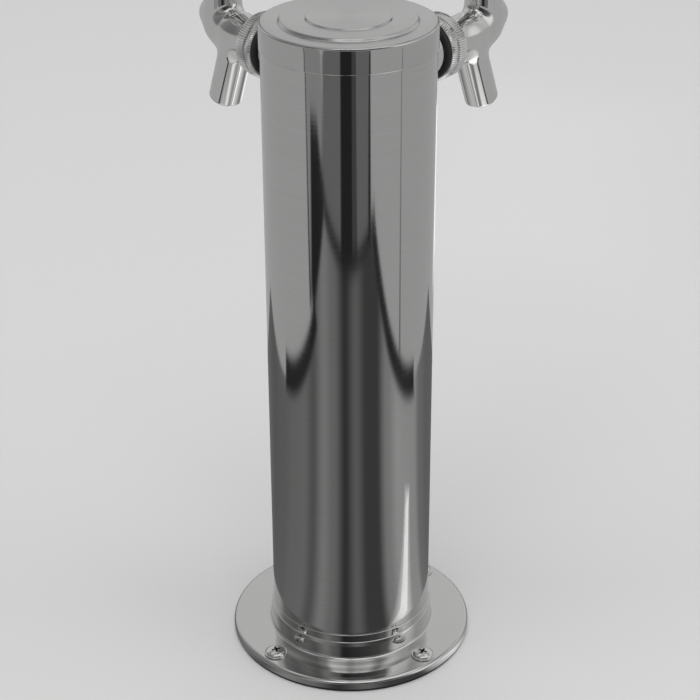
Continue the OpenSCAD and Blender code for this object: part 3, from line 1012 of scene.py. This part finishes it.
make_column()
make_cap()
make_flange()
make_base_screws()
for tap_side in SIDES:
    tap_matrix = tap_place(tap_side)
    make_collar(tap_side, tap_matrix)
    make_gasket(tap_side, tap_matrix)
    make_nut(tap_side, tap_matrix)
    make_faucet(tap_side, tap_matrix)
    make_bonnet(tap_side, tap_matrix)
    make_lever(tap_side, tap_matrix)
    make_ferrule(tap_side, tap_matrix)
    make_handle(tap_side, tap_matrix)


# ---------------------------------------------------------------- stage and light


# Overlapping cards lie this far apart, in metres.
LAYER_GAP = 0.0002
# A corner moves this much further than the sides that meet in it.
MITRE = 1.4
# A corner whose two sides' directions add up to less than this is taken as straight.
STRAIGHT = 0.05
LAMP_TARGET = Vector((0, 0, 0.2))


def emitter(name):
    """An emitting material with no other part yet: its tree, its light and its output."""
    made = bpy.data.materials.new(name)
    made.use_nodes = True
    tree = made.node_tree
    tree.nodes.clear()
    light = new_node(tree, "ShaderNodeEmission")
    output = new_node(tree, "ShaderNodeOutputMaterial")
    return made, tree, light, output


def soft_glow(name, strength):
    """A glow that fades to clear where the mesh's "fade" attribute falls to nothing."""
    made, tree, light, output = emitter(name)
    light.inputs["Strength"].default_value = strength
    fade = new_node(tree, "ShaderNodeAttribute", attribute_name="fade")
    clear = new_node(tree, "ShaderNodeBsdfTransparent")
    mix = new_node(tree, "ShaderNodeMixShader")
    tree.links.new(fade.outputs["Fac"], mix.inputs["Fac"])
    tree.links.new(clear.outputs[0], mix.inputs[1])
    tree.links.new(light.outputs[0], mix.inputs[2])
    tree.links.new(mix.outputs[0], output.inputs["Surface"])
    return made


def outward(spots, i, middle):
    """The direction that leads out of a polygon at one of its corners."""
    before = (spots[i - 1] - spots[i]).normalized()
    after = (spots[(i + 1) % len(spots)] - spots[i]).normalized()
    out = -(before + after)
    if out.length < STRAIGHT:
        out = (spots[i] - middle).normalized()
    out.normalize()
    return out if out.dot(spots[i] - middle) >= 0 else -out


def card(name, corners, made, fade=0.004):
    """A flat studio card with soft edges that only reflections see; its corners run round one way."""
    spots = [Vector(corner) for corner in corners]
    middle = sum(spots, Vector()) / len(spots)
    bm = bmesh.new()
    layer = bm.verts.layers.float.new("fade")
    rings = []
    for grow, value in ((-fade, 1.0), (fade, 0.0)):
        shifts = [outward(spots, i, middle) * grow * MITRE for i in range(len(spots))]
        ring = [bm.verts.new(spot + shift) for spot, shift in zip(spots, shifts)]
        for vert in ring:
            vert[layer] = value
        rings.append(ring)
    bm.faces.new(rings[0])
    for i in range(len(spots)):
        j = (i + 1) % len(spots)
        bm.faces.new((rings[0][i], rings[0][j], rings[1][j], rings[1][i]))
    piece = placed(name, as_mesh(name, bm))
    piece.data.materials.append(made)
    piece.visible_camera = False
    piece.visible_diffuse = False
    piece.visible_shadow = False
    piece.visible_transmission = False


def floor_card(name, corners, layer, made, fade=0.004):
    """A card that lies just above the counter; layer orders the ones that overlap."""
    card(name, [(x, y, LAYER_GAP * layer) for x, y in corners], made, fade)


def line_card(name, start, end, width, layer, made):
    """A thin straight card between two spots on the counter."""
    a, b = Vector(start), Vector(end)
    across = (b - a).orthogonal().normalized() * width / 2
    floor_card(name, [a + across, a - across, b - across, b + across], layer, made, width * 0.3)


def make_floor():
    """A pale floor, so wide that its edge is never seen."""
    bm = bmesh.new()
    bmesh.ops.create_grid(bm, x_segments=1, y_segments=1, size=80.0)
    floor = placed("floor", as_mesh("floor", bm))
    made = material("pale_floor", Roughness=0.9, Base_Color=(0.6, 0.6, 0.6, 1))[0]
    floor.data.materials.append(made)
    floor.visible_glossy = False


def set_stops(ramp, stops):
    """Sets a colour ramp's greys; each stop is added at its own place, from low to high."""
    elements = ramp.color_ramp.elements
    elements.remove(elements[-1])
    for index, (position, value) in enumerate(stops):
        element = elements[0] if index == 0 else elements.new(position)
        element.position = position
        element.color = (value, value, value, 1)


def by_angle(tree, source, stops):
    """A grey by the angle round z, where 0 is +y and -x is 90 degrees; it also returns the z value."""
    split = new_node(tree, "ShaderNodeSeparateXYZ")
    tree.links.new(source, split.inputs["Vector"])
    flip = new_node(tree, "ShaderNodeMath", operation="MULTIPLY")
    flip.inputs[1].default_value = -1.0
    tree.links.new(split.outputs["X"], flip.inputs[0])
    turn = new_node(tree, "ShaderNodeMath", operation="ARCTAN2")
    tree.links.new(flip.outputs[0], turn.inputs[0])
    tree.links.new(split.outputs["Y"], turn.inputs[1])
    fraction = spread(tree, turn.outputs[0], 0.0, 1.0, -math.pi, math.pi)
    ramp = new_node(tree, "ShaderNodeValToRGB")
    ramp.color_ramp.interpolation = "EASE"
    set_stops(ramp, [((degrees + 180) / 360, value) for degrees, value in stops])
    tree.links.new(fraction, ramp.inputs["Fac"])
    return ramp.outputs["Color"], split.outputs["Z"]


# Streaks are (degrees round the z axis, grey), and rows are (sine of the height, grey).
COUNTER_STREAKS = [
    (-180, 0.30),
    (-150, 0.16),
    (-125, 0.13),
    (-100, 0.15),
    (-80, 0.18),
    (-62, 0.19),
    (-48, 0.12),
    (-33, 0.26),
    (-20, 0.19),
    (-5, 0.045),
    (9, 0.15),
    (22, 0.06),
    (36, 0.06),
    (50, 0.27),
    (67, 0.40),
    (80, 0.38),
    (95, 0.36),
    (108, 0.20),
    (130, 0.15),
    (150, 0.14),
    (180, 0.30),
]


def counter_glow():
    """A glowing stand-in for the brushed counter, a painted reflection: in streaks by angle, and more when
    seen from above.
    """
    made, tree, light, output = emitter("counter_glow")
    place = new_node(tree, "ShaderNodeTexCoord")
    streaks = by_angle(tree, place.outputs["Object"], COUNTER_STREAKS)[0]
    tree.links.new(streaks, light.inputs["Color"])
    facing = new_node(tree, "ShaderNodeLayerWeight", Blend=0.5)
    tree.links.new(spread(tree, facing.outputs["Facing"], 4.0, 1.0, 0.2, 0.36), light.inputs["Strength"])
    tree.links.new(light.outputs[0], output.inputs["Surface"])
    return made


def make_cards():
    """What the polished steel mirrors: the counter, its dark edges and the dim room in front."""
    half_w, front, back = 0.302, 0.504, -0.28
    dark = soft_glow("dark_card", 0.022)
    dim = soft_glow("dim_card", 0.17)
    half = soft_glow("half_card", 0.07)
    soft = soft_glow("soft_card", 0.30)
    bright = soft_glow("bright_card", 1.25)
    sides = [(-half_w, back), (half_w, back), (half_w, front), (-half_w, front)]
    floor_card("counter_card", sides, 2, counter_glow())
    cards = (
        ("front_edge", [(-half_w, 0.47), (half_w, 0.49), (half_w, 0.535), (-half_w, 0.505)], 5, dark, 0.008),
        ("right_edge", [(-0.325, -0.03), (-0.28, -0.03), (-0.28, front), (-0.325, front)], 5, dark, 0.008),
        ("left_edge", [(0.29, -0.02), (0.34, -0.02), (0.305, 0.30), (0.26, 0.30)], 5, dark, 0.008),
        ("side_shade", [(0.30, 0.25), (2.3, 1.48), (2.0, 2.6), (0.30, 0.52)], 1, soft, 0.008),
        ("room_shade", [(0.36, 0.52), (-0.27, 0.50), (-1.25, 2.6), (1.3, 2.6)], 2, dim, 0.02),
        ("room_gap", [(0.085, 0.50), (-0.05, 0.50), (-0.22, 2.6), (0.40, 2.6)], 4, dark, 0.01),
        ("room_gap_side", [(-0.05, 0.50), (-0.10, 0.50), (-0.42, 2.6), (-0.22, 2.6)], 3, half, 0.01),
        ("side_gap", [(0.30, 0.29), (0.34, 0.29), (0.60, 0.53), (0.50, 0.60), (0.30, 0.54)], 4, dark, 0.01),
        ("window_streak", [(-0.05, 0.024), (-0.17, 0.022), (-0.17, 0.03), (-0.05, 0.036)], 5, bright, 0.012),
        ("back_patch", [(-0.03, -0.44), (-0.17, -0.40), (-0.24, -0.74), (-0.05, -0.86)], 1, bright, 0.05),
    )
    for name, corners, layer, made, fade in cards:
        floor_card(name, corners, layer, made, fade)
    line_card("right_line", (-0.26, 0.51), (-0.90, 1.75), 0.034, 4, dark)
    line_card("left_line", (0.33, 0.27), (1.10, 0.74), 0.018, 3, half)
    line_card("far_line", (-0.33, 0.12), (-1.10, 0.37), 0.014, 3, dim)


def area(name, spot, width, height, power):
    """A soft lamp aimed at the tower. The steel mirrors the world and the cards, and not the lamps."""
    light = bpy.data.lights.new(name, "AREA")
    light.shape = "RECTANGLE"
    light.size, light.size_y, light.energy = width, height, power
    lamp = placed(name, light)
    lamp.location = spot
    lamp.rotation_euler = (LAMP_TARGET - Vector(spot)).to_track_quat("-Z", "Y").to_euler()
    lamp.visible_glossy = False


def make_lights():
    area("top_fill", (0, 0.5, 1.9), 0.9, 0.9, 4)
    area("left_fill", (1.5, 0.3, 0.9), 0.8, 1.4, 3)
    area("right_fill", (-1.5, 0.1, 0.9), 0.8, 1.4, 3)
    area("back_fill", (0, -1.0, 1.6), 1.4, 0.8, 3)
    daylight = bpy.data.lights.new("daylight", "SUN")
    daylight.energy = 1.25
    daylight.angle = math.radians(60)
    lamp = placed("daylight", daylight)
    lamp.rotation_euler = (math.radians(-12), math.radians(8), 0)
    lamp.visible_glossy = False


WALL_STREAKS = [
    (-180, 0.62),
    (-135, 0.58),
    (-112, 0.24),
    (-90, 0.18),
    (-66, 0.22),
    (-50, 0.16),
    (-34, 0.30),
    (-20, 0.18),
    (-8, 0.03),
    (8, 0.05),
    (22, 0.07),
    (36, 0.09),
    (51, 0.16),
    (67, 0.95),
    (85, 0.85),
    (106, 0.55),
    (140, 0.66),
    (180, 0.62),
]
CEILING_STREAKS = [
    (-180, 0.7),
    (-100, 0.5),
    (-55, 0.3),
    (-40, 0.5),
    (-26, 1.5),
    (-12, 1.3),
    (0, 0.8),
    (12, 1.1),
    (28, 1.3),
    (44, 0.6),
    (62, 1.3),
    (90, 0.8),
    (180, 0.7),
]
HAZE_END, WALL_START = 0.02, 0.16
CEILING_START, CEILING_FULL = 0.64, 0.69
CEILING_ROWS = [
    (CEILING_START, 0.2),
    (CEILING_FULL, 0.8),
    (0.75, 0.5),
    (0.80, 0.4),
    (0.86, 0.9),
    (0.90, 1.2),
    (0.96, 0.7),
]


def make_world():
    """White to the camera; reflections see a soft room with brighter and darker walls."""
    world = bpy.data.worlds.new("studio")
    world.use_nodes = True
    bpy.context.scene.world = world
    tree = world.node_tree
    tree.nodes.clear()
    output = new_node(tree, "ShaderNodeOutputWorld")
    place = new_node(tree, "ShaderNodeTexCoord")
    walls, height = by_angle(tree, place.outputs["Generated"], WALL_STREAKS)
    lamps = by_angle(tree, place.outputs["Generated"], CEILING_STREAKS)[0]
    rows = new_node(tree, "ShaderNodeValToRGB")
    set_stops(rows, CEILING_ROWS)
    tree.links.new(height, rows.inputs["Fac"])
    ceiling = new_node(tree, "ShaderNodeMix", data_type="RGBA", blend_type="MULTIPLY")
    ceiling.inputs["Factor"].default_value = 1.0
    tree.links.new(lamps, ceiling.inputs["A"])
    tree.links.new(rows.outputs["Color"], ceiling.inputs["B"])
    room = new_node(tree, "ShaderNodeMix", data_type="RGBA")
    room.inputs["A"].default_value = (0.45, 0.45, 0.45, 1)
    tree.links.new(spread(tree, height, 0.0, 1.0, HAZE_END, WALL_START), room.inputs["Factor"])
    tree.links.new(walls, room.inputs["B"])
    whole = new_node(tree, "ShaderNodeMix", data_type="RGBA")
    above = spread(tree, height, 0.0, 1.0, CEILING_START, CEILING_FULL)
    tree.links.new(above, whole.inputs["Factor"])
    tree.links.new(room.outputs["Result"], whole.inputs["A"])
    tree.links.new(ceiling.outputs["Result"], whole.inputs["B"])
    seen = new_node(tree, "ShaderNodeBackground", Color=(1, 1, 1, 1), Strength=1.0)
    mirrored = new_node(tree, "ShaderNodeBackground", Strength=1.0)
    tree.links.new(whole.outputs["Result"], mirrored.inputs["Color"])
    path = new_node(tree, "ShaderNodeLightPath")
    mix = new_node(tree, "ShaderNodeMixShader")
    tree.links.new(path.outputs["Is Camera Ray"], mix.inputs["Fac"])
    tree.links.new(mirrored.outputs[0], mix.inputs[1])
    tree.links.new(seen.outputs[0], mix.inputs[2])
    tree.links.new(mix.outputs[0], output.inputs["Surface"])


def make_camera():
    """A long lens that looks down at the tower from behind its taps."""
    distance, height = 0.7535, 0.544
    turn = math.radians(1.5)
    pitch = math.radians(27.48)
    roll = math.radians(-0.234)
    camera = bpy.data.cameras.new("camera")
    camera.lens = 94.47
    camera.sensor_width = 36.0
    holder = placed("camera", camera)
    holder.location = (-math.sin(turn) * distance, math.cos(turn) * distance, height)
    swing = Matrix.Rotation(math.radians(180) + turn, 3, "Z")
    tilt = Matrix.Rotation(math.radians(90) - pitch, 3, "X")
    holder.rotation_euler = (swing @ tilt @ Matrix.Rotation(roll, 3, "Z")).to_euler()
    bpy.context.scene.camera = holder


make_floor()
make_cards()
make_lights()
make_world()
make_camera()
bpy.context.scene.view_settings.view_transform = "Standard"
